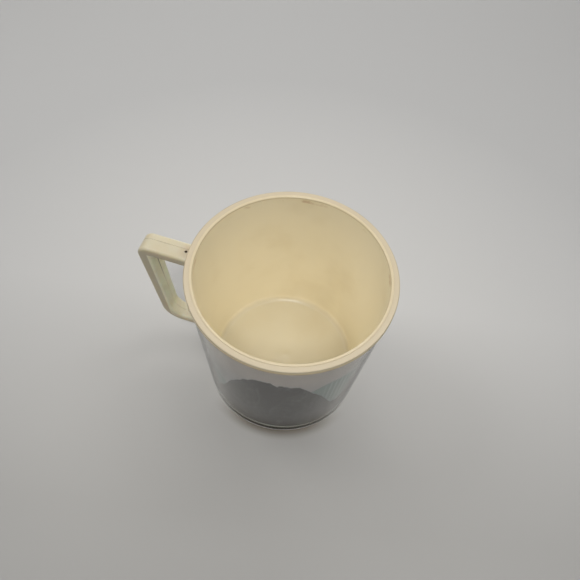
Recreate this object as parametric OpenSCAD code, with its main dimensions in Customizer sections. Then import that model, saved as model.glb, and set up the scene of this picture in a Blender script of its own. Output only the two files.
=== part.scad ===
// Double-wall mug: ivory liner, printed wrap and clear outer shell, with an angular handle.
// Millimetres, +Z up. The origin is on the mug's axis in the plane it stands on. The handle points along -X.

/* [Mug] */
// Height from the standing plane to the top of the lip
mug_height = 79.6; // [72:0.1:100]
// Outside radius of the rim
rim_radius = 42; // [40:0.5:48]
// Outside radius of the wall at the base
base_radius = 36.3; // [35.5:0.1:38]

/* [Rim] */
// Width of the whole rim, from its outside to the mouth
mouth_inset = 3.5; // [3.4:0.1:3.8]
// Width of the liner's own lip
lip_width = 1.2; // [1:0.1:1.4]
// Rounding of the lip's edge towards the mouth
lip_round = 0.6; // [0.4:0.1:0.8]
// Rounding of the collar's outside edge
collar_round = 0.5; // [0.3:0.1:0.8]
// Rounding of the two edges that meet in the rim's fine groove
groove_round = 0.15; // [0.05:0.05:0.2]
// Height of the lip above the clear shell's top edge
lip_height = 1.2; // [1.2:0.1:2.5]
// How much lower the collar's crest is than the lip's
collar_drop = 0.1; // [0:0.1:0.2]
// How far the collar's skirt reaches down over the shell
skirt_height = 1.2; // [0.8:0.1:2]
// Height of the adhesive line under the collar
seal_height = 0.5; // [0.3:0.1:0.8]

/* [Walls] */
// Thickness of the liner's wall
liner_wall = 1.1; // [0.9:0.1:1.2]
// Thickness of the liner's floor
liner_floor = 1.6; // [1.2:0.1:2]
// Height of the liner's inside floor above the standing plane
inside_floor = 6.5; // [6.2:0.1:9]
// Inside radius of the liner at its floor
floor_radius = 33; // [31:0.1:33.2]
// Radius of the fillet round the liner's floor
floor_fillet = 3; // [1:0.5:5]
// Thickness of the clear shell at its top edge
shell_top_wall = 1.35; // [1.2:0.05:1.4]
// Thickness of the clear shell's wall at the base
shell_base_wall = 1.6; // [1.4:0.1:2]
// Height of the clear shell's inside floor
shell_floor = 3.2; // [2.6:0.1:3.8]
// Rounding of the shell's outside edge at the base
base_edge = 1; // [0.5:0.1:1.5]
// Depth of the recess under the base
foot_depth = 0.9; // [0.4:0.1:1.2]
// Width of the foot ring
foot_width = 3.4; // [2:0.1:6]
// Thickness of the printed wrap
wrap_thickness = 0.15; // [0.1:0.01:0.18]
// Gap between the wrap's two ends
wrap_seam = 0.4; // [0.2:0.1:1]

/* [Handle] */
// Height of the top arm's upper face
handle_top = 72; // [66:0.1:74]
// Height of the lower arm's underside
handle_bottom = 17.8; // [12:0.1:26]
// Width of the handle across its flat faces, at the top arm
handle_top_width = 9.3; // [7:0.1:12]
// Width of the handle across its flat faces, at the lower arm
handle_bottom_width = 7.8; // [6:0.1:12]
// Reach of the outer edge from the mug's axis, at the top
reach_top = 66.3; // [60:0.1:74]
// Reach of the outer edge from the mug's axis, at the bottom
reach_bottom = 59.8; // [56:0.1:68]
// Thickness of the top arm
top_arm_thickness = 4.5; // [3:0.1:6]
// Thickness of the lower arm
lower_arm_thickness = 3.9; // [3:0.1:5]
// Thickness of the sloping grip at its top, measured along X
grip_top_thickness = 5.7; // [3:0.1:7]
// Thickness of the sloping grip at its bottom, measured along X
grip_bottom_thickness = 4.7; // [3:0.1:6]
// Outside rounding where the top arm turns into the grip
top_corner = 5; // [4:0.5:8]
// Outside rounding where the grip turns into the lower arm
bottom_corner = 9; // [6:0.5:11]

/* [Hidden] */
$fn = 96;
fit_gap = 0.03;
probe = 20;
shell_top = mug_height - lip_height;
wall_top_radius = rim_radius - 0.65;
mouth_radius = rim_radius - mouth_inset;
lip_outside = mouth_radius + lip_width;
lip_bottom = mug_height - lip_round - 0.1;
collar_inside = lip_outside + fit_gap;
collar_top = mug_height - collar_drop;
crest_bottom = collar_top - collar_round - 0.1;
skirt_inside = wall_top_radius + 0.05;
skirt_bottom = shell_top - skirt_height;
seal_bottom = skirt_bottom - seal_height;
seal_reach = 0.45;
liner_bottom = inside_floor - liner_floor;
wrap_bottom = shell_floor + 0.6;
wrap_top = shell_top - 0.5;
inside_corner_top = 2;
inside_corner_bottom = 7;
gate_radius = 1.6;
gate_height = 0.25;
pit_radius = 0.55;
pit_depth = 0.9;
pit_reach = 45.2;
root_reach = 30;

ivory = [0.86, 0.80, 0.66];
ivory_rim = [0.86, 0.81, 0.70];
amber = [0.62, 0.42, 0.20];
print_grey = [0.45, 0.48, 0.50];
clear = [0.93, 0.95, 0.94, 0.35];

// Radius of a straight taper at height z, from r0 at z0 to r1 at z1.
function taper(z, z0, r0, z1, r1) = r0 + (r1 - r0) * (z - z0) / (z1 - z0);
function shell_outside(z) = taper(z, 0, base_radius, shell_top, wall_top_radius);
function shell_inside(z) = taper(
  z,
  0, base_radius - shell_base_wall,
  shell_top, wall_top_radius - shell_top_wall
);
function liner_inside(z) = taper(z, inside_floor, floor_radius, mug_height, mouth_radius);

// A rounded corner b between a and c: where its arc starts, its centre and where it ends.
function unit(v) = v / norm(v);
function half_angle(a, b, c) = acos(unit(a - b) * unit(c - b)) / 2;
function arc_start(a, b, c, r) = b + unit(a - b) * r / tan(half_angle(a, b, c));
function arc_end(a, b, c, r) = b + unit(c - b) * r / tan(half_angle(a, b, c));
function arc_centre(a, b, c, r) =
  b + unit(unit(a - b) + unit(c - b)) * r / sin(half_angle(a, b, c));

// A slab of the given thickness through a, b, c and d, with b and c rounded.
module two_round_corners(a, b, c, d, rb, rc, thickness) {
  linear_extrude(height = thickness) polygon([
    a,
    arc_start(a, b, c, rb),
    arc_centre(a, b, c, rb),
    arc_end(a, b, c, rb),
    arc_start(b, c, d, rc),
    arc_centre(b, c, d, rc),
    arc_end(b, c, d, rc),
    d
  ]);
  translate(arc_centre(a, b, c, rb)) cylinder(r = rb, h = thickness);
  translate(arc_centre(b, c, d, rc)) cylinder(r = rc, h = thickness);
}

// A ring with its two upper edges rounded.
module round_topped_ring(inside, outside, bottom, top, inside_round, outside_round) {
  rotate_extrude() polygon([
    [inside, bottom],
    [inside, top - inside_round],
    [inside + inside_round, top - inside_round],
    [inside + inside_round, top],
    [outside - outside_round, top],
    [outside - outside_round, top - outside_round],
    [outside, top - outside_round],
    [outside, bottom]
  ]);
  rotate_extrude()
    translate([inside + inside_round, top - inside_round]) circle(r = inside_round);
  rotate_extrude()
    translate([outside - outside_round, top - outside_round]) circle(r = outside_round);
}

// The liner's inside outline in half section, with the floor's fillet.
module liner_cavity() {
  corner = [floor_radius, inside_floor];
  rise = [liner_inside(mug_height), mug_height];
  centre_line = [0, inside_floor];
  polygon([
    centre_line,
    arc_start(centre_line, corner, rise, floor_fillet),
    arc_centre(centre_line, corner, rise, floor_fillet),
    arc_end(centre_line, corner, rise, floor_fillet),
    rise,
    [0, mug_height]
  ]);
  translate(arc_centre(centre_line, corner, rise, floor_fillet)) circle(r = floor_fillet);
}

module liner_section() {
  outside_corner = floor_radius + liner_wall - floor_fillet / 2;
  difference() {
    polygon([
      [0, liner_bottom],
      [outside_corner, liner_bottom],
      [liner_inside(inside_floor) + liner_wall, liner_bottom + floor_fillet / 2],
      [liner_inside(shell_top) + liner_wall, shell_top],
      [lip_outside, shell_top],
      [lip_outside, lip_bottom],
      [0, lip_bottom]
    ]);
    liner_cavity();
  }
}

module inner_liner() {
  color(ivory) {
    rotate_extrude() liner_section();
    round_topped_ring(
      liner_inside(lip_bottom),
      lip_outside,
      lip_bottom,
      mug_height,
      lip_round,
      groove_round
    );
    translate([0, 0, inside_floor]) cylinder(r = gate_radius, h = gate_height);
  }
}

module rim_collar() {
  color(ivory_rim) {
    rotate_extrude() polygon([
      [collar_inside, shell_top],
      [skirt_inside, shell_top],
      [skirt_inside, skirt_bottom],
      [rim_radius, skirt_bottom],
      [rim_radius, crest_bottom],
      [collar_inside, crest_bottom]
    ]);
    round_topped_ring(
      collar_inside,
      rim_radius,
      crest_bottom,
      collar_top,
      groove_round,
      collar_round
    );
  }
}

module rim_seal() {
  color(amber) rotate_extrude() polygon([
    [shell_outside(seal_bottom) + fit_gap, seal_bottom],
    [shell_outside(skirt_bottom) + seal_reach, skirt_bottom],
    [shell_outside(skirt_bottom) + fit_gap, skirt_bottom]
  ]);
}

module wrap_section() {
  polygon([
    [shell_inside(wrap_bottom) - fit_gap, wrap_bottom],
    [shell_inside(wrap_top) - fit_gap, wrap_top],
    [shell_inside(wrap_top) - fit_gap - wrap_thickness, wrap_top],
    [shell_inside(wrap_bottom) - fit_gap - wrap_thickness, wrap_bottom]
  ]);
}

module printed_wrap() {
  color(print_grey) difference() {
    rotate_extrude() wrap_section();
    translate([-rim_radius - probe, -wrap_seam / 2, 0])
      cube([rim_radius + probe, wrap_seam, mug_height]);
  }
}

module shell_section() {
  foot_inside = shell_outside(0) - base_edge - foot_width;
  edge = [shell_outside(0), 0];
  difference() {
    union() {
      polygon([
        [0, foot_depth],
        [foot_inside - foot_depth, foot_depth],
        [foot_inside, 0],
        arc_start([0, 0], edge, [wall_top_radius, shell_top], base_edge),
        arc_centre([0, 0], edge, [wall_top_radius, shell_top], base_edge),
        arc_end([0, 0], edge, [wall_top_radius, shell_top], base_edge),
        [wall_top_radius, shell_top],
        [0, shell_top]
      ]);
      translate(arc_centre([0, 0], edge, [wall_top_radius, shell_top], base_edge))
        circle(r = base_edge);
    }
    polygon([
      [0, shell_floor],
      [shell_inside(shell_floor) - 1, shell_floor],
      [shell_inside(shell_floor + 1), shell_floor + 1],
      [shell_inside(shell_top + probe), shell_top + probe],
      [0, shell_top + probe]
    ]);
  }
}

module outer_shell() {
  color(clear) rotate_extrude() shell_section();
}

// The handle and its finger window lie flat here, with reach along X and height along Y.
module handle_slab() {
  two_round_corners(
    [root_reach, handle_top],
    [reach_top, handle_top],
    [reach_bottom, handle_bottom],
    [root_reach, handle_bottom],
    top_corner,
    bottom_corner,
    handle_top_width
  );
}

module handle_window() {
  slope = (reach_top - reach_bottom) / (handle_top - handle_bottom);
  inner_top = handle_top - top_arm_thickness;
  inner_bottom = handle_bottom + lower_arm_thickness;
  two_round_corners(
    [root_reach - probe, inner_top],
    [reach_top - slope * top_arm_thickness - grip_top_thickness, inner_top],
    [reach_bottom + slope * lower_arm_thickness - grip_bottom_thickness, inner_bottom],
    [root_reach - probe, inner_bottom],
    inside_corner_top,
    inside_corner_bottom,
    handle_top_width + 2 * probe
  );
}

// The space that the handle's two flat faces leave between them, narrower towards the bottom.
module handle_draft() {
  translate([-reach_top - probe, 0, 0]) rotate([90, 0, 90])
    linear_extrude(height = reach_top + probe) polygon([
      [-handle_bottom_width / 2, handle_bottom],
      [handle_bottom_width / 2, handle_bottom],
      [handle_top_width / 2, handle_top],
      [-handle_top_width / 2, handle_top]
    ]);
}

// Turns a flat outline upright, its reach along -X and its first face at the given distance from X.
module stand_up(near_face) {
  translate([0, -near_face, 0]) rotate([90, 0, 180]) children();
}

module handle() {
  color(ivory_rim) difference() {
    intersection() {
      stand_up(handle_top_width / 2) handle_slab();
      handle_draft();
    }
    stand_up(handle_top_width / 2 + probe) handle_window();
    cylinder(
      r1 = shell_outside(0) + fit_gap,
      r2 = shell_outside(shell_top) + fit_gap,
      h = shell_top
    );
    translate([-pit_reach, 0, handle_top - pit_depth]) cylinder(r = pit_radius, h = probe);
  }
}

inner_liner();
rim_collar();
rim_seal();
handle();
printed_wrap();
outer_shell();
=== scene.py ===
import math

import bmesh
import bpy
from mathutils import Matrix, Vector


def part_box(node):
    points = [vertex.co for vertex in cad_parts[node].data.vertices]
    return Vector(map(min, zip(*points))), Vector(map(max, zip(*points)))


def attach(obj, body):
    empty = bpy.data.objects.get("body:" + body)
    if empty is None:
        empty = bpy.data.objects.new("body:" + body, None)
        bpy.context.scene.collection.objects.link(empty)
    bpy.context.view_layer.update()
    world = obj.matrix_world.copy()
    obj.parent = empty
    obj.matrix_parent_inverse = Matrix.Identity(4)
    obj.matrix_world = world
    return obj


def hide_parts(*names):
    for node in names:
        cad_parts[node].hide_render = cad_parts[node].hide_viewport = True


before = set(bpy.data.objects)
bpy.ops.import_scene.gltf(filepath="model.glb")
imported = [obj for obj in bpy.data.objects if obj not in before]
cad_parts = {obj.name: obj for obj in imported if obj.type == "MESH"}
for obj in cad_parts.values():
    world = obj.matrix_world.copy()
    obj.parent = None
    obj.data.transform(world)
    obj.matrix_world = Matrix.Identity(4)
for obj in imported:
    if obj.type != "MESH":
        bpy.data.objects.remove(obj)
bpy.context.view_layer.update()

MM = 0.001

# Sizes that the CAD frame gives.
RIM_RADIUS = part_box("rim_collar")[1].x
MUG_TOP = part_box("inner_liner")[1].z
COLLAR_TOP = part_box("rim_collar")[1].z
SKIRT_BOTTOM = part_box("rim_collar")[0].z
SEAL_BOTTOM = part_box("rim_seal")[0].z
SHELL_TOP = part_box("outer_shell")[1].z
WALL_TOP_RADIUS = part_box("outer_shell")[1].x
LIP_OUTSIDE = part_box("inner_liner")[1].x
LINER_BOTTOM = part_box("inner_liner")[0].z
WRAP_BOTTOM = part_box("printed_wrap")[0].z
WRAP_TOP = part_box("printed_wrap")[1].z
HANDLE_LOW, HANDLE_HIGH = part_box("handle")

# Sizes that the CAD source sets and its boxes do not show.
BASE_RADIUS = 36.3 * MM
LIP_WIDTH = 1.2 * MM
LIP_ROUND = 0.6 * MM
COLLAR_ROUND = 0.5 * MM
GROOVE_ROUND = 0.15 * MM
LINER_WALL = 1.1 * MM
INSIDE_FLOOR = 6.5 * MM
FLOOR_RADIUS = 33.0 * MM
FLOOR_FILLET = 3.0 * MM
SHELL_TOP_WALL = 1.35 * MM
SHELL_BASE_WALL = 1.6 * MM
SHELL_FLOOR = 3.2 * MM
BASE_EDGE = 1.0 * MM
FOOT_DEPTH = 0.9 * MM
FOOT_WIDTH = 3.4 * MM
FOOT_INSIDE = BASE_RADIUS - BASE_EDGE - FOOT_WIDTH
WRAP_THICKNESS = 0.15 * MM
WRAP_SEAM = 0.4 * MM
FIT_GAP = 0.03 * MM
REACH_TOP = 66.3 * MM
REACH_BOTTOM = 59.8 * MM
TOP_ARM = 4.5 * MM
LOWER_ARM = 3.9 * MM
GRIP_TOP = 5.7 * MM
GRIP_BOTTOM = 4.7 * MM
HANDLE_BOTTOM_WIDTH = 7.8 * MM
TOP_CORNER = 5.0 * MM
BOTTOM_CORNER = 9.0 * MM
WINDOW_TOP_CORNER = 2.0 * MM
WINDOW_BOTTOM_CORNER = 7.0 * MM
PIT_REACH = 45.2 * MM
PIT_RADIUS = 0.55 * MM
PIT_DEPTH = 0.9 * MM
GATE_RADIUS = 1.6 * MM
GATE_HEIGHT = 0.25 * MM

# Small shapes that only the visible handle has.
HANDLE_EDGE = 1.1 * MM
PARTING_OUTSIDE = 1.2 * MM
PARTING_HALF = 0.14 * MM
PARTING_DEPTH = 0.12 * MM

# How finely round shapes are cut, and how near two points may be before they count as one.
SEGMENTS = 256
PIT_SEGMENTS = 24
WELD = 1e-7
SAME_POINT = 1e-9


# ---------------------------------------------------------------- outlines


def taper(z, z0, r0, z1, r1):
    return r0 + (r1 - r0) * (z - z0) / (z1 - z0)


def shell_outside(z):
    return taper(z, 0, BASE_RADIUS, SHELL_TOP, WALL_TOP_RADIUS)


def shell_inside(z):
    bottom = BASE_RADIUS - SHELL_BASE_WALL
    top = WALL_TOP_RADIUS - SHELL_TOP_WALL
    return taper(z, 0, bottom, SHELL_TOP, top)


def liner_inside(z):
    return taper(z, INSIDE_FLOOR, FLOOR_RADIUS, MUG_TOP, LIP_OUTSIDE - LIP_WIDTH)


def arc(centre, radius, start, end, steps):
    """Points on an arc from one angle to another, in degrees."""
    points = []
    for i in range(steps + 1):
        a = math.radians(start + (end - start) * i / steps)
        points.append((centre[0] + radius * math.cos(a), centre[1] + radius * math.sin(a)))
    return points


def rounded(previous, corner, following, radius, steps):
    """Points of the arc that rounds a corner between two straight runs."""
    b = Vector(corner)
    u = (Vector(previous) - b).normalized()
    v = (Vector(following) - b).normalized()
    half = u.angle(v) / 2
    start = b + u * radius / math.tan(half)
    end = b + v * radius / math.tan(half)
    centre = b + (u + v).normalized() * radius / math.sin(half)
    first = start - centre
    last = end - centre
    sweep = first.angle(last)
    turn = 1 if first.x * last.y - first.y * last.x > 0 else -1
    points = []
    for i in range(steps + 1):
        a = turn * sweep * i / steps
        c, s = math.cos(a), math.sin(a)
        points.append((centre.x + first.x * c - first.y * s, centre.y + first.x * s + first.y * c))
    return points


def spread(start, end, steps):
    """Evenly spaced points from start to end, both included."""
    return [
        (
            start[0] + (end[0] - start[0]) * i / steps,
            start[1] + (end[1] - start[1]) * i / steps,
        )
        for i in range(steps + 1)
    ]


# ---------------------------------------------------------------- meshes


def new_object(name, verts, faces, sharp=35):
    """A smooth mesh object whose edges past the given angle, in degrees, stay sharp."""
    mesh = bpy.data.meshes.new(name)
    mesh.from_pydata([tuple(v) for v in verts], [], faces)
    work = bmesh.new()
    work.from_mesh(mesh)
    bmesh.ops.remove_doubles(work, verts=work.verts, dist=WELD)
    bmesh.ops.recalc_face_normals(work, faces=work.faces)
    work.to_mesh(mesh)
    work.free()
    mesh.shade_smooth()
    mesh.set_sharp_from_angle(angle=math.radians(sharp))
    obj = bpy.data.objects.new(name, mesh)
    bpy.context.scene.collection.objects.link(obj)
    return obj


def lathe(name, profile, sharp=35):
    """A closed outline of (radius, height) points, turned about the mug's axis."""
    verts = []
    faces = []
    count = len(profile)
    for i in range(SEGMENTS):
        a = 2 * math.pi * i / SEGMENTS
        for r, z in profile:
            verts.append((r * math.cos(a), r * math.sin(a), z))
    for i in range(SEGMENTS):
        here = i * count
        there = ((i + 1) % SEGMENTS) * count
        for j in range(count):
            k = (j + 1) % count
            faces.append((here + j, there + j, there + k, here + k))
    return new_object(name, verts, clean(verts, faces), sharp)


def clean(verts, faces):
    """Faces without repeated points, for outlines that touch the axis."""
    kept = []
    for face in faces:
        ring = []
        for index in face:
            here = Vector(verts[index])
            if all((here - Vector(verts[j])).length >= SAME_POINT for j in ring):
                ring.append(index)
        if len(ring) > 2:
            kept.append(ring)
    return kept


def dress(obj, material, slot, *nodes):
    """Give a piece its material, put it under the root body and hide the CAD parts that it stands for."""
    obj.data.materials.clear()
    obj.data.materials.append(material)
    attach(obj, "root")
    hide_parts(*nodes)


# ---------------------------------------------------------------- materials


class Tree:
    """A material's node tree, with short calls that add one node and return its main output."""

    def __init__(self, name):
        self.material = bpy.data.materials.new(name)
        self.material.use_nodes = True
        self.nodes = self.material.node_tree.nodes
        self.links = self.material.node_tree.links
        self.nodes.clear()
        output = self.nodes.new("ShaderNodeOutputMaterial")
        self.shader = self.nodes.new("ShaderNodeBsdfPrincipled")
        self.links.new(self.shader.outputs[0], output.inputs["Surface"])
        self.coordinates = self.nodes.new("ShaderNodeTexCoord").outputs["Object"]
        self.axes = self.nodes.new("ShaderNodeSeparateXYZ")
        self.links.new(self.coordinates, self.axes.inputs[0])

    def put(self, value, socket):
        """Link another node's output to a socket, or set the socket to a plain value."""
        if isinstance(value, bpy.types.NodeSocket):
            self.links.new(value, socket)
        else:
            socket.default_value = value

    def math(self, operation, *values, clamp=False):
        node = self.nodes.new("ShaderNodeMath")
        node.operation = operation
        node.use_clamp = clamp
        for value, socket in zip(values, node.inputs):
            self.put(value, socket)
        return node.outputs[0]

    def times(self, first, *others):
        for other in others:
            first = self.math("MULTIPLY", first, other)
        return first

    def plus(self, first, second):
        return self.math("ADD", first, second)

    def minus(self, first, second):
        return self.math("SUBTRACT", first, second)

    def absolute(self, value):
        return self.math("ABSOLUTE", value)

    def lift(self, value, gain, least):
        """A value times a gain, on top of a least amount."""
        return self.math("MULTIPLY_ADD", value, gain, least)

    def step(self, value, low, high, smooth=True):
        """0 at low and 1 at high, where low may also be the larger of the two."""
        node = self.nodes.new("ShaderNodeMapRange")
        node.interpolation_type = "SMOOTHSTEP" if smooth else "LINEAR"
        self.put(value, node.inputs["Value"])
        self.put(low, node.inputs["From Min"])
        self.put(high, node.inputs["From Max"])
        return node.outputs[0]

    def band(self, value, low, high, edge):
        """1 between low and high, and 0 outside."""
        rise = self.step(value, low - edge, low + edge)
        fall = self.step(value, high - edge, high + edge)
        return self.math("SUBTRACT", rise, fall, clamp=True)

    def noise(self, scale, detail=3.0, roughness=0.5, stretch=(1, 1, 1)):
        """Soft random patches; a larger scale makes them smaller."""
        node = self.nodes.new("ShaderNodeTexNoise")
        node.inputs["Scale"].default_value = scale
        node.inputs["Detail"].default_value = detail
        node.inputs["Roughness"].default_value = roughness
        shift = self.nodes.new("ShaderNodeMapping")
        shift.inputs["Scale"].default_value = stretch
        self.links.new(self.coordinates, shift.inputs["Vector"])
        self.links.new(shift.outputs[0], node.inputs["Vector"])
        return node.outputs[0]

    def mix(self, share, first, second, mode="MIX"):
        """The first colour at share 0 and the second at share 1."""
        node = self.nodes.new("ShaderNodeMix")
        node.data_type = "RGBA"
        node.blend_type = mode
        self.put(share, node.inputs["Factor"])
        first_colour, second_colour, mixed = node.inputs[6], node.inputs[7], node.outputs[2]
        for colour, socket in ((first, first_colour), (second, second_colour)):
            self.put((*colour, 1.0) if isinstance(colour, tuple) else colour, socket)
        return mixed

    def set(self, **values):
        """Set or link the shader's inputs, by short names."""
        names = {
            "colour": "Base Color",
            "roughness": "Roughness",
            "ior": "IOR",
            "transmission": "Transmission Weight",
            "specular": "Specular IOR Level",
            "coat": "Coat Weight",
            "coat_roughness": "Coat Roughness",
            "glow": "Subsurface Weight",
            "glow_depth": "Subsurface Scale",
        }
        for key, value in values.items():
            socket = self.shader.inputs[names[key]]
            if isinstance(value, tuple):
                value = (*value, 1.0)
            self.put(value, socket)

    def angle(self):
        """The direction from the axis, in degrees from -180 to 180, with 0 at +X."""
        turn = self.math("ARCTAN2", self.axes.outputs[1], self.axes.outputs[0])
        return self.times(turn, 180 / math.pi)

    def length(self, x, y):
        squares = self.plus(self.times(x, x), self.times(y, y))
        return self.math("SQRT", squares)

    def radius(self):
        """The distance from the mug's axis."""
        return self.length(self.axes.outputs[0], self.axes.outputs[1])

    def height(self):
        return self.axes.outputs[2]


def srgb(*display):
    """A colour given as 0 to 255 display values, as the linear values that shaders take (the sRGB curve)."""
    linear = []
    for value in display:
        v = value / 255
        linear.append(v / 12.92 if v <= 0.04045 else ((v + 0.055) / 1.055) ** 2.4)
    return tuple(linear)


# The liner's wall ivory is painted light and its floor ivory painted shade.
IVORY_WALL = srgb(250, 240, 212)
IVORY_FLOOR_SHADE = srgb(212, 202, 174)
IVORY_RIM = srgb(202, 187, 158)
IVORY_LIP = srgb(214, 198, 164)
# The collar's side ivory is painted light.
IVORY_SIDE_LIT = srgb(246, 228, 186)
IVORY_HANDLE = srgb(204, 196, 171)
IVORY_AGED = srgb(196, 172, 118)
# The grip's inner-face ivory is painted light.
IVORY_PAINTED_LIGHT = srgb(252, 246, 216)
STAIN = srgb(176, 122, 62)
STAIN_DARK = srgb(118, 74, 34)
# The groove line colour is painted shade in the inner groove and only a darker line in the outer one.
GROOVE_DARK = srgb(96, 74, 44)
PIT_DARK = srgb(64, 46, 28)
SKY = srgb(252, 242, 237)
SKY_LOW = srgb(222, 222, 226)
MIST = srgb(168, 192, 190)
CREST = srgb(112, 122, 128)
FALLS = srgb(214, 230, 232)
HILL = srgb(16, 16, 17)
HILL_LIT = srgb(62, 62, 66)
HILL_VIOLET = srgb(42, 39, 50)
HILL_CRACK = srgb(150, 152, 158)
BORDER = srgb(34, 48, 50)
BORDER_LINE = srgb(250, 252, 244)
CLEAR = srgb(254, 254, 251)
# The far paper colour is painted shade: the paper is darker away from the mug, round a painted pool of
# light.
PAPER = srgb(204, 202, 198)
PAPER_FAR_SHADE = srgb(184, 183, 181)

# Linear shares of its own colour that the floor keeps, and how far each colour travels inside the handle.
# The two shares below are painted shade towards the camera and a painted contact shadow in front of the
# base.
NEAR_SHADE_SHARES = (0.78, 0.775, 0.765)
CONTACT_SHADOW_SHARES = (0.44, 0.39, 0.33)
IVORY_DEPTHS = (1.0, 0.85, 0.6)

# Refractive indices. The clear one is lower than real plastic's, so that the dark print reads as dark.
PLASTIC_IOR = 1.5
CLEAR_IOR = 1.3

# In the materials below, "none" and "full" are where an effect starts and where it is complete. The first
# number given to noise() is how fine it is, and those of the step() round it say how much of it shows.


def liner_material():
    """Ivory, with the wall painted lighter and the flat floor darker, painted light and shade that even out
    the inside; faint clouds, stains under the lip and a paler lip.
    """
    floor_full, floor_none = INSIDE_FLOOR + 0.2 * MM, INSIDE_FLOOR + 2.5 * MM
    stain_low, stain_high, stain_edge = MUG_TOP - 2.6 * MM, MUG_TOP - 1.1 * MM, 0.4 * MM
    lip_none, lip_full = MUG_TOP - 1.0 * MM, MUG_TOP - 0.4 * MM
    cloud_share = 0.16
    stain_share = 0.45

    t = Tree("liner_ivory")
    z = t.height()
    # Painted light and shade: the wall's ivory is lighter and the flat floor's darker, so the inside of the
    # cup reads evenly lit.
    base = t.mix(t.step(z, floor_none, floor_full), IVORY_WALL, IVORY_FLOOR_SHADE)
    clouds = t.step(t.noise(38, detail=4), 0.45, 0.75)
    base = t.mix(t.times(clouds, cloud_share), base, IVORY_AGED)
    under_lip = t.band(z, stain_low, stain_high, stain_edge)
    spots = t.step(t.noise(85, detail=5, roughness=0.65), 0.52, 0.68)
    base = t.mix(t.times(under_lip, spots, stain_share), base, STAIN)
    base = t.mix(t.step(z, lip_none, lip_full), base, IVORY_LIP)
    t.set(colour=base, roughness=0.3, ior=PLASTIC_IOR, coat=0.15, coat_roughness=0.15)
    return t.material


def collar_material():
    """Ivory, painted lighter down its side than on its top as painted light, stained at its lower edge and
    marked at the rim's outer edge.
    """
    side_none, side_full = COLLAR_TOP - 0.2 * MM, COLLAR_TOP - 0.8 * MM
    stain_none, stain_full = SKIRT_BOTTOM + 0.8 * MM, SKIRT_BOTTOM
    outer_band_low, outer_band_high, outer_band_edge = RIM_RADIUS - 0.42 * MM, RIM_RADIUS - 0.1 * MM, 0.1 * MM
    outer_band_centre, outer_band_half, outer_band_fade = -150, 95, 20

    t = Tree("rim_ivory")
    z = t.height()
    patch = t.noise(55, detail=5, roughness=0.6)
    # Painted light: the side, which the lamps light less than the top, is given a paler ivory.
    base = t.mix(t.step(z, side_none, side_full), IVORY_RIM, IVORY_SIDE_LIT)
    spots = t.lift(t.step(patch, 0.5, 0.66), 0.5, 0.3)
    base = t.mix(t.times(spots, t.step(z, stain_none, stain_full)), base, STAIN)
    # A patchy dark brown band along the rim's outer rounding, on the side centred 150 degrees round from the
    # front.
    outer_band = t.band(t.radius(), outer_band_low, outer_band_high, outer_band_edge)
    marks = t.lift(t.step(patch, 0.45, 0.62), 0.45, 0.2)
    part = t.band(around(t, outer_band_centre), -outer_band_half, outer_band_half, outer_band_fade)
    base = t.mix(t.times(outer_band, marks, part), base, STAIN_DARK)
    t.set(colour=base, roughness=0.32, ior=PLASTIC_IOR, coat=0.1, coat_roughness=0.2)
    return t.material


def seal_material():
    """Dull, patchy, brown-orange adhesive."""
    t = Tree("aged_adhesive")
    patch = t.step(t.noise(70, detail=4, roughness=0.6), 0.35, 0.7)
    t.set(colour=t.mix(patch, STAIN, STAIN_DARK), roughness=0.55, ior=PLASTIC_IOR)
    return t.material


def inner_face(t):
    """1 on the grip's inner face, below the top arm, and 0 elsewhere on the handle."""
    margin = 0.6 * MM
    beyond_none, beyond_full = -0.8 * MM, -0.2 * MM
    top_fade = 0.8 * MM
    window_top = HANDLE_HIGH.z - TOP_ARM

    x, _, z = t.axes.outputs
    low_reach = REACH_BOTTOM - GRIP_BOTTOM + margin
    high_reach = REACH_TOP - GRIP_TOP + margin
    lean = (high_reach - low_reach) / (HANDLE_HIGH.z - HANDLE_LOW.z)
    face = t.plus(t.times(t.minus(z, HANDLE_LOW.z), lean), low_reach)
    reach = t.times(x, -1.0)
    facing = t.step(t.minus(face, reach), beyond_none, beyond_full)
    return t.times(facing, t.step(z, window_top + top_fade, window_top))


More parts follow.
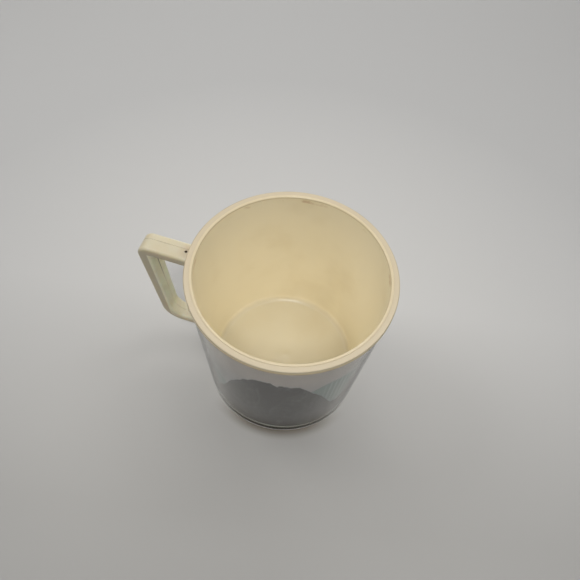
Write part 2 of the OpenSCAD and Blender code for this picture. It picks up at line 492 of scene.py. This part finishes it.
def handle_material():
    """Ivory, with painted light on the grip's inner face, painted shade in its parting groove, darker lines
    in the outer parting groove and grime round the pit.
    """
    line_none, line_full = 0.35 * MM, 0.1 * MM
    inner_line_none = 0.4 * MM
    groove_shade_low, groove_shade_high = 40 * MM, 62 * MM
    pale_low, pale_high = 16 * MM, 30 * MM
    top_low, top_high = 69 * MM, 70.5 * MM
    ring_none, ring_full = 4.5 * MM, 0.8 * MM
    pit_none, pit_full = PIT_RADIUS * 1.25, PIT_RADIUS * 0.95
    cloud_share = 0.3
    aged_share = 0.18

    t = Tree("handle_ivory")
    x, y, z = t.axes.outputs
    inside = inner_face(t)
    patch = t.step(t.noise(120, detail=5, roughness=0.65), 0.42, 0.7)

    clouds = t.times(t.noise(45, detail=3), cloud_share)
    base = t.mix(clouds, IVORY_HANDLE, IVORY_RIM)
    # Painted light: the grip's inner face, which the lamps barely reach, is a paler ivory from 30 mm up,
    # fading out by 16 mm.
    pale = t.times(inside, t.step(z, pale_low, pale_high))
    base = t.mix(pale, base, IVORY_PAINTED_LIGHT)
    base = t.mix(t.times(patch, aged_share), base, IVORY_AGED)

    from_pit = t.length(t.plus(x, PIT_REACH), y)
    on_top = t.step(z, top_low, top_high)
    near_pit = t.times(t.step(from_pit, ring_none, ring_full), on_top)
    base = t.mix(t.times(near_pit, t.lift(patch, 0.3, 0.15)), base, STAIN)

    # Painted shade: the dark line in the inner parting groove, stronger higher up; the outer groove's line
    # is darker in patches.
    outer_line = t.step(t.absolute(t.minus(y, PARTING_OUTSIDE)), line_none, line_full)
    inner_line = t.step(t.absolute(y), inner_line_none, line_full)
    high_up = t.lift(t.step(z, groove_shade_low, groove_shade_high), 0.6, 0.08)
    inner_groove_shade = t.times(inner_line, inside, high_up)
    outer_groove_dark = t.times(outer_line, t.lift(patch, 0.3, 0.08), t.minus(1.0, inside))
    base = t.mix(t.math("MAXIMUM", inner_groove_shade, outer_groove_dark), base, GROOVE_DARK)

    in_pit = t.times(t.step(from_pit, pit_none, pit_full), on_top)
    base = t.mix(in_pit, base, PIT_DARK)
    t.set(colour=base, roughness=0.36, ior=PLASTIC_IOR, coat=0.08, coat_roughness=0.25)
    t.set(glow=0.8, glow_depth=5 * MM)
    t.shader.inputs["Subsurface Radius"].default_value = IVORY_DEPTHS
    return t.material


# The print. FRONT is the direction, in degrees in the mug's frame, that faces the photograph's camera.
# A peak is (degrees from the front, height in metres, half width in degrees).
FRONT = -77.3
EULER = 2.718
HILL_BASE = 15 * MM
HILL_PEAKS = ((-4, 0.047, 36), (74, 0.064, 24), (132, 0.036, 24), (-166, 0.040, 26))
HILL_ROUGHNESS = 20 * MM
FAR_BASE = 20 * MM
FAR_PEAKS = (
    (38, 0.038, 36),
    (-50, 0.026, 20),
    (112, 0.030, 26),
    (166, 0.034, 30),
    (-100, 0.016, 26),
)
FAR_ROUGHNESS = 4 * MM


def around(t, centre):
    """Degrees from a direction that is itself given in degrees from the mug's front, -180 to 180."""
    turn = t.minus(t.angle(), FRONT + centre - 180)
    return t.minus(t.math("FLOORED_MODULO", turn, 360.0), 180.0)


def skyline(t, base, peaks, roughness):
    """The height of a line of hills round the wall, each a smooth bump of exp(-share^3) on the base."""
    ripple = t.minus(t.noise(90, 5, 0.6, stretch=(1, 1, 0)), 0.5)
    total = t.plus(t.times(ripple, roughness), base)
    for centre, height, half_width in peaks:
        share = t.math("DIVIDE", t.absolute(around(t, centre)), half_width)
        power = t.times(t.math("POWER", share, 3.0), -1.0)
        total = t.plus(total, t.times(t.math("POWER", EULER, power), height))
    return total


def below(t, line, edge=0.4 * MM):
    """1 under a line on the wall and 0 over it."""
    return t.step(t.minus(line, t.height()), -edge, edge)


def rock(t):
    """Dark rock, mottled with a lighter and a violet tone and crossed by fine pale cracks."""
    grain = t.step(t.noise(160, detail=6, roughness=0.7), 0.4, 0.75)
    colour = t.mix(grain, HILL, HILL_LIT)
    tone = t.step(t.noise(34), 0.45, 0.65)
    colour = t.mix(t.times(tone, 0.6), colour, HILL_VIOLET)
    crack = t.absolute(t.minus(t.noise(110, 5, 0.6, stretch=(1, 1, 0.45)), 0.5))
    return t.mix(t.times(t.step(crack, 0.012, 0.002), 0.35), colour, HILL_CRACK)


def printed_material():
    """Layers of a plain landscape: pale sky, misty far hills with falls, dark rock, and a border."""
    sky_top, sky_bottom = 70 * MM, 46 * MM
    mist_edge, falls_edge = 2 * MM, 3 * MM
    crest_width, crest_share = 0.8 * MM, 0.35
    falls_centre, falls_left, falls_right, falls_fade = 36, -9, 7, 1.5
    falls_per_degree, falls_share = 1.9, 0.8
    border_top, line_top, print_edge = 3.2 * MM, 2.0 * MM, 0.1 * MM

    t = Tree("printed_sheet")
    z = t.height()
    scene = t.mix(t.step(z, sky_top, sky_bottom), SKY, SKY_LOW)
    far = skyline(t, FAR_BASE, FAR_PEAKS, FAR_ROUGHNESS)
    scene = t.mix(below(t, far, mist_edge), scene, MIST)
    crest = t.minus(below(t, far), below(t, t.minus(far, crest_width)))
    scene = t.mix(t.times(crest, crest_share), scene, CREST)

    across = around(t, falls_centre)
    falls = t.band(across, falls_left, falls_right, falls_fade)
    waves = t.step(t.math("SINE", t.times(across, falls_per_degree)), 0.1, 0.8)
    strokes = t.times(falls, below(t, far, falls_edge), waves, falls_share)
    scene = t.mix(strokes, scene, FALLS)

    hill = skyline(t, HILL_BASE, HILL_PEAKS, HILL_ROUGHNESS)
    scene = t.mix(below(t, hill), scene, rock(t))
    for top, colour in ((border_top, BORDER), (line_top, BORDER_LINE)):
        height = WRAP_BOTTOM + top
        scene = t.mix(t.step(z, height + print_edge, height - print_edge), scene, colour)
    t.set(colour=scene, roughness=0.6, specular=0.1)
    return t.material


def shell_material():
    """Clear plastic, worn to a dull white along the edge that the mug stands on: scuffing, and also a
    painted highlight for the bright line along that edge.
    """
    scuff_none, scuff_full = 2.1 * MM, 1.8 * MM
    foot_fade = 0.5 * MM
    clear_roughness, added_roughness = 0.02, 0.5

    t = Tree("clear_shell")
    foot = t.step(t.radius(), FOOT_INSIDE, FOOT_INSIDE + foot_fade)
    # The dull white band is scuffing and also a painted highlight along the foot edge.
    edge = t.times(foot, t.step(t.height(), scuff_none, scuff_full))
    patch = t.step(t.noise(90, detail=4), 0.3, 0.5)
    scuff_and_highlight = t.times(edge, t.lift(patch, 0.3, 0.7))
    t.set(colour=CLEAR, ior=CLEAR_IOR)
    t.set(roughness=t.lift(scuff_and_highlight, added_roughness, clear_roughness))
    t.set(transmission=t.minus(1.0, scuff_and_highlight))
    return t.material


# ---------------------------------------------------------------- pieces


def round_top(inside, outside, top, inside_round, outside_round):
    """The upper edges of a ring in half section, from its inside to its outside."""
    points = arc((inside + inside_round, top - inside_round), inside_round, 180, 90, 10)
    points += arc((outside - outside_round, top - outside_round), outside_round, 90, 0, 12)
    return points


def make_liner():
    """The inner cup: inside floor with its mark, inside wall, lip, then the outside down to the base."""
    mouth = LIP_OUTSIDE - LIP_WIDTH
    gate_top = INSIDE_FLOOR + GATE_HEIGHT
    gate_edge = (GATE_RADIUS, INSIDE_FLOOR)
    corner = (FLOOR_RADIUS, INSIDE_FLOOR)
    fillet = rounded((0, INSIDE_FLOOR), corner, (mouth, MUG_TOP), FLOOR_FILLET, 12)
    lip_start = MUG_TOP - LIP_ROUND
    outer_floor = FLOOR_RADIUS + LINER_WALL
    chamfer = FLOOR_FILLET / 2
    profile = [(0, gate_top), (0.5 * GATE_RADIUS, gate_top), gate_edge]
    profile += spread(gate_edge, fillet[0], 8)[1:-1]
    profile += fillet
    profile += spread(fillet[-1], (liner_inside(lip_start), lip_start), 20)[1:-1]
    profile += round_top(mouth, LIP_OUTSIDE, MUG_TOP, LIP_ROUND, GROOVE_ROUND)
    profile += [(LIP_OUTSIDE, SHELL_TOP)]
    profile += [(liner_inside(SHELL_TOP) + LINER_WALL, SHELL_TOP)]
    profile += [(outer_floor, LINER_BOTTOM + chamfer)]
    profile += [(outer_floor - chamfer, LINER_BOTTOM), (0, LINER_BOTTOM)]
    dress(lathe("liner_cup", profile), liner_material(), "liner_ivory", "inner_liner")


def make_collar():
    """The outer half of the rim, which also covers the top edge of the shell."""
    chamfer = 0.2 * MM
    seat = WALL_TOP_RADIUS + 0.05 * MM
    profile = round_top(LIP_OUTSIDE, RIM_RADIUS, COLLAR_TOP, GROOVE_ROUND, COLLAR_ROUND)
    profile += [(RIM_RADIUS, SKIRT_BOTTOM + chamfer), (RIM_RADIUS - chamfer, SKIRT_BOTTOM)]
    profile += [(seat, SKIRT_BOTTOM), (seat, SHELL_TOP), (LIP_OUTSIDE, SHELL_TOP)]
    dress(lathe("rim_ring", profile), collar_material(), "rim_ivory", "rim_collar")


def make_seal():
    """The line of adhesive in the corner between the collar and the shell."""
    thickness = 0.45 * MM
    top = shell_outside(SKIRT_BOTTOM)
    low = shell_outside(SEAL_BOTTOM)
    profile = [(top + FIT_GAP, SKIRT_BOTTOM)]
    profile += spread((top + thickness, SKIRT_BOTTOM), (low + FIT_GAP, SEAL_BOTTOM), 6)
    bead = lathe("seal_bead", profile, sharp=80)
    dress(bead, seal_material(), "aged_adhesive", "rim_seal")


def make_wrap():
    """The printed sheet: a thin open cone whose two ends nearly meet behind the handle."""
    seam_half = WRAP_SEAM / 2 / shell_inside(WRAP_TOP)
    steps = 240
    rows = 24
    back = rows + 1
    ring = 2 * back
    verts = []
    for i in range(steps + 1):
        a = -math.pi + seam_half + (2 * math.pi - 2 * seam_half) * i / steps
        for side in (0, 1):
            for j in range(back):
                z = WRAP_BOTTOM + (WRAP_TOP - WRAP_BOTTOM) * j / rows
                r = shell_inside(z) - FIT_GAP - side * WRAP_THICKNESS
                verts.append((r * math.cos(a), r * math.sin(a), z))
    faces = []
    for i in range(steps):
        here, there = i * ring, (i + 1) * ring
        for j in range(rows):
            k = j + 1
            faces.append((here + j, there + j, there + k, here + k))
            faces.append((here + back + k, there + back + k, there + back + j, here + back + j))
        for j in (0, rows):
            faces.append((here + j, here + back + j, there + back + j, there + j))
    for here in (0, steps * ring):
        for j in range(rows):
            k = j + 1
            faces.append((here + j, here + k, here + back + k, here + back + j))
    wrap = new_object("printed_sheet", verts, faces)
    dress(wrap, printed_material(), "printed_sheet", "printed_wrap")


def make_shell():
    """The clear cup: underside with its foot ring, outside wall, top edge, then the inside and its floor."""
    chamfer = 1.0 * MM
    wall_top = (WALL_TOP_RADIUS, SHELL_TOP)
    rounding = rounded((0, 0), (BASE_RADIUS, 0), wall_top, BASE_EDGE, 10)
    profile = [(0, FOOT_DEPTH), (FOOT_INSIDE - FOOT_DEPTH, FOOT_DEPTH), (FOOT_INSIDE, 0)]
    profile += rounding
    profile += spread(rounding[-1], wall_top, 20)[1:]
    profile += [(shell_inside(SHELL_TOP), SHELL_TOP)]
    profile += [(shell_inside(SHELL_FLOOR + chamfer), SHELL_FLOOR + chamfer)]
    profile += [(shell_inside(SHELL_FLOOR) - chamfer, SHELL_FLOOR), (0, SHELL_FLOOR)]
    dress(lathe("clear_cup", profile), shell_material(), "clear_shell", "outer_shell")


def handle_outline():
    """The handle's side view as (reach, height) points, and how many of them lie on its outside."""
    top, bottom = HANDLE_HIGH.z, HANDLE_LOW.z
    slope = (REACH_TOP - REACH_BOTTOM) / (top - bottom)
    root = 30 * MM  # any reach inside the wall, to give the arms their direction
    outer = [(root, top), (REACH_TOP, top), (REACH_BOTTOM, bottom), (root, bottom)]
    window_top, window_bottom = top - TOP_ARM, bottom + LOWER_ARM
    inner = [
        (root, window_bottom),
        (REACH_BOTTOM + slope * LOWER_ARM - GRIP_BOTTOM, window_bottom),
        (REACH_TOP - slope * TOP_ARM - GRIP_TOP, window_top),
        (root, window_top),
    ]
    path = [(shell_outside(top), top)]
    path += rounded(outer[0], outer[1], outer[2], TOP_CORNER, 14)
    path += rounded(outer[1], outer[2], outer[3], BOTTOM_CORNER, 18)
    path += [(shell_outside(bottom), bottom)]
    outside = len(path)
    path += [(shell_outside(window_bottom), window_bottom)]
    path += rounded(inner[0], inner[1], inner[2], WINDOW_BOTTOM_CORNER, 14)
    path += rounded(inner[1], inner[2], inner[3], WINDOW_TOP_CORNER, 10)
    path += [(shell_outside(window_top), window_top)]
    return path, outside


def outward(path, i):
    """The direction out of the handle's side view at one of its points."""
    before = Vector(path[i - 1])
    here = Vector(path[i])
    after = Vector(path[(i + 1) % len(path)])
    along = (here - before).normalized() + (after - here).normalized()
    return Vector((-along.y, along.x)).normalized()


def handle_stations(half_width, middle):
    """A strip across the handle, with round edges and a parting groove.

    Its points are (place across the handle, height over the outline) pairs.
    """
    edge_steps = 6
    flat = half_width - HANDLE_EDGE
    edge = []
    for i in range(edge_steps + 1):
        a = math.radians(90 * i / edge_steps)
        edge.append((flat + HANDLE_EDGE * math.cos(a), HANDLE_EDGE * (math.sin(a) - 1)))
    edge.append((flat - PARTING_HALF, 0.0))
    groove = [(middle + PARTING_HALF * k, 0.0) for k in (2, 1)]
    groove.append((middle, -PARTING_DEPTH))
    groove += [(middle - PARTING_HALF * k, 0.0) for k in (1, 2)]
    return edge + groove + [(-y, offset) for y, offset in reversed(edge)]


def handle_half_width(z):
    """Half the handle's width, which is less towards the bottom."""
    return taper(z, HANDLE_LOW.z, HANDLE_BOTTOM_WIDTH / 2, HANDLE_HIGH.z, HANDLE_HIGH.y)


def make_handle():
    """The strip across the handle, carried round its outline, with the four ends fitted to the shell."""
    path, outside = handle_outline()
    count = len(path)
    ends = (0, outside - 1, outside, count - 1)
    rows = []
    for i, (reach, z) in enumerate(path):
        out = outward(path, i)
        if i in ends:
            out = Vector((0, 1 if i in (0, outside) else -1))
        middle = PARTING_OUTSIDE if i < outside else 0.0
        row = []
        for y, offset in handle_stations(handle_half_width(z), middle):
            place = Vector((reach, z)) + out * offset
            if i in ends:
                wall = shell_outside(place.y) + FIT_GAP
                place.x = math.sqrt(wall * wall - y * y)
            row.append((-place.x, y, place.y))
        rows.append(row)
    across = len(rows[0])
    verts = [row[j] for j in range(across) for row in rows]
    faces = []
    for j in range(across - 1):
        here, there = j * count, (j + 1) * count
        for i in range(count):
            k = (i + 1) % count
            faces.append((here + i, here + k, there + k, there + i))
    faces.append(tuple(range(count)))
    faces.append(tuple(reversed(range((across - 1) * count, across * count))))
    handle = new_object("grip_handle", verts, faces, sharp=28)
    cut_pit(handle)
    dress(handle, handle_material(), "handle_ivory", "handle")


def cut_pit(handle):
    """The small round pit in the top arm, next to the rim."""
    bpy.ops.mesh.primitive_cylinder_add(
        vertices=PIT_SEGMENTS,
        radius=PIT_RADIUS,
        depth=2 * PIT_DEPTH,
        location=(-PIT_REACH, 0, HANDLE_HIGH.z),
    )
    drill = bpy.context.object
    cut = handle.modifiers.new("pit", "BOOLEAN")
    cut.operation = "DIFFERENCE"
    cut.solver = "EXACT"
    cut.object = drill
    bpy.context.view_layer.objects.active = handle
    bpy.ops.object.modifier_apply(modifier=cut.name)
    bpy.data.objects.remove(drill)


# ---------------------------------------------------------------- floor, light and camera


# The camera, solved in a setting of its own that is turned from the mug's frame by VIEW_TURN. Angles are in
# radians and lengths in metres.
VIEW_TURN = math.radians(12.7)
VIEW_PITCH = 1.0056
VIEW_ROLL = 0.1040
VIEW_DISTANCE = 0.21112
VIEW_TARGET = Vector((-0.00024, -0.00878, 0.08074))
LENS_MM = 34.76
SENSOR_MM = 36
CLIP_START = 10 * MM

FLOOR_SIZE = 6.0
ROOM_COLOUR = (0.93, 0.96, 1.0, 1.0)
ROOM_STRENGTH = 0.02


def turned(v):
    """A direction or point of the camera's own setting, turned to the mug's frame."""
    return Matrix.Rotation(VIEW_TURN, 3, "Z") @ Vector(v)


def make_floor():
    """A pale paper floor with painted shade: darker far from the mug and towards the camera, with a painted
    contact shadow close in front of the base.
    """
    far_none, far_full = 0.04, 0.22
    near_none, near_full = 0.036, -0.076
    contact_none, contact_full = 41.5 * MM, 35.5 * MM
    front_none, front_full = -22 * MM, -36 * MM

    t = Tree("paper_sweep")
    x, y, _ = t.axes.outputs
    radius = t.radius()
    away = turned((0, 1, 0))
    depth = t.plus(t.times(x, away.x), t.times(y, away.y))
    # Painted shade: the paper darkens away from the mug and towards the camera, and a painted contact shadow
    # darkens it close in front of the base.
    shade = t.mix(t.step(radius, far_none, far_full, smooth=False), PAPER, PAPER_FAR_SHADE)
    near = t.step(depth, near_none, near_full, smooth=False)
    close = t.times(t.step(radius, contact_none, contact_full), t.step(depth, front_none, front_full))
    for share, tint in ((near, NEAR_SHADE_SHARES), (close, CONTACT_SHADOW_SHARES)):
        shade = t.mix(share, shade, t.mix(1.0, shade, tint, "MULTIPLY"))
    t.set(colour=shade, roughness=0.75, specular=0.2)
    bpy.ops.mesh.primitive_plane_add(size=FLOOR_SIZE, location=(0, 0, 0))
    floor = bpy.context.object
    floor.name = "paper_floor"
    floor.data.materials.append(t.material)


def area_light(name, place, target, size, power):
    """A white rectangular lamp at a place, facing a target; both are in the camera's own setting."""
    data = bpy.data.lights.new(name, "AREA")
    data.shape = "RECTANGLE"
    data.size, data.size_y = size
    data.energy = power
    lamp = bpy.data.objects.new(name, data)
    lamp.location = turned(place)
    aim = turned(target) - turned(place)
    lamp.rotation_euler = aim.to_track_quat("-Z", "Y").to_euler()
    bpy.context.scene.collection.objects.link(lamp)


def make_camera():
    """The photograph's camera, from its pitch, roll, distance and target."""
    look = Vector((0, math.cos(VIEW_PITCH), -math.sin(VIEW_PITCH)))
    right = Vector((1, 0, 0))
    up = right.cross(look)
    right_rolled = math.cos(VIEW_ROLL) * right + math.sin(VIEW_ROLL) * up
    up_rolled = -math.sin(VIEW_ROLL) * right + math.cos(VIEW_ROLL) * up
    place = VIEW_TARGET - VIEW_DISTANCE * look
    x, y, z = turned(right_rolled), turned(up_rolled), turned(-look)
    data = bpy.data.cameras.new("photo_camera")
    data.sensor_width = SENSOR_MM
    data.lens = LENS_MM
    data.clip_start = CLIP_START
    camera = bpy.data.objects.new("photo_camera", data)
    basis = Matrix((x, y, z)).transposed().to_4x4()
    camera.matrix_world = Matrix.Translation(turned(place)) @ basis
    bpy.context.scene.collection.objects.link(camera)
    bpy.context.scene.camera = camera


def make_light():
    """A faint room light and five lamps, with strengths fitted to the photograph."""
    world = bpy.data.worlds.new("soft_room")
    world.use_nodes = True
    background = world.node_tree.nodes["Background"]
    background.inputs["Color"].default_value = ROOM_COLOUR
    background.inputs["Strength"].default_value = ROOM_STRENGTH
    bpy.context.scene.world = world
    area_light("key_lamp", (0, -0.7, 1.4), (0, 0, 0), size=(0.4, 0.3), power=9.7)
    area_light("ceiling_strip", (0, 0.08, 0.4), (0, 0.08, 0), size=(0.8, 0.2), power=0.84)
    area_light("back_panel", (0, 0.9, 0.45), (0, 0.1, 0), size=(0.9, 0.5), power=3.3)
    area_light("left_panel", (-0.7, 0.25, 0.8), (0, 0, 0.03), size=(0.4, 0.4), power=1.5)
    area_light("right_panel", (0.5, 0.5, 1.1), (0, 0, 0.03), size=(0.4, 0.4), power=1.42)
    bpy.context.scene.view_settings.view_transform = "Standard"


make_liner()
make_collar()
make_seal()
make_wrap()
make_shell()
make_handle()
make_floor()
make_light()
make_camera()
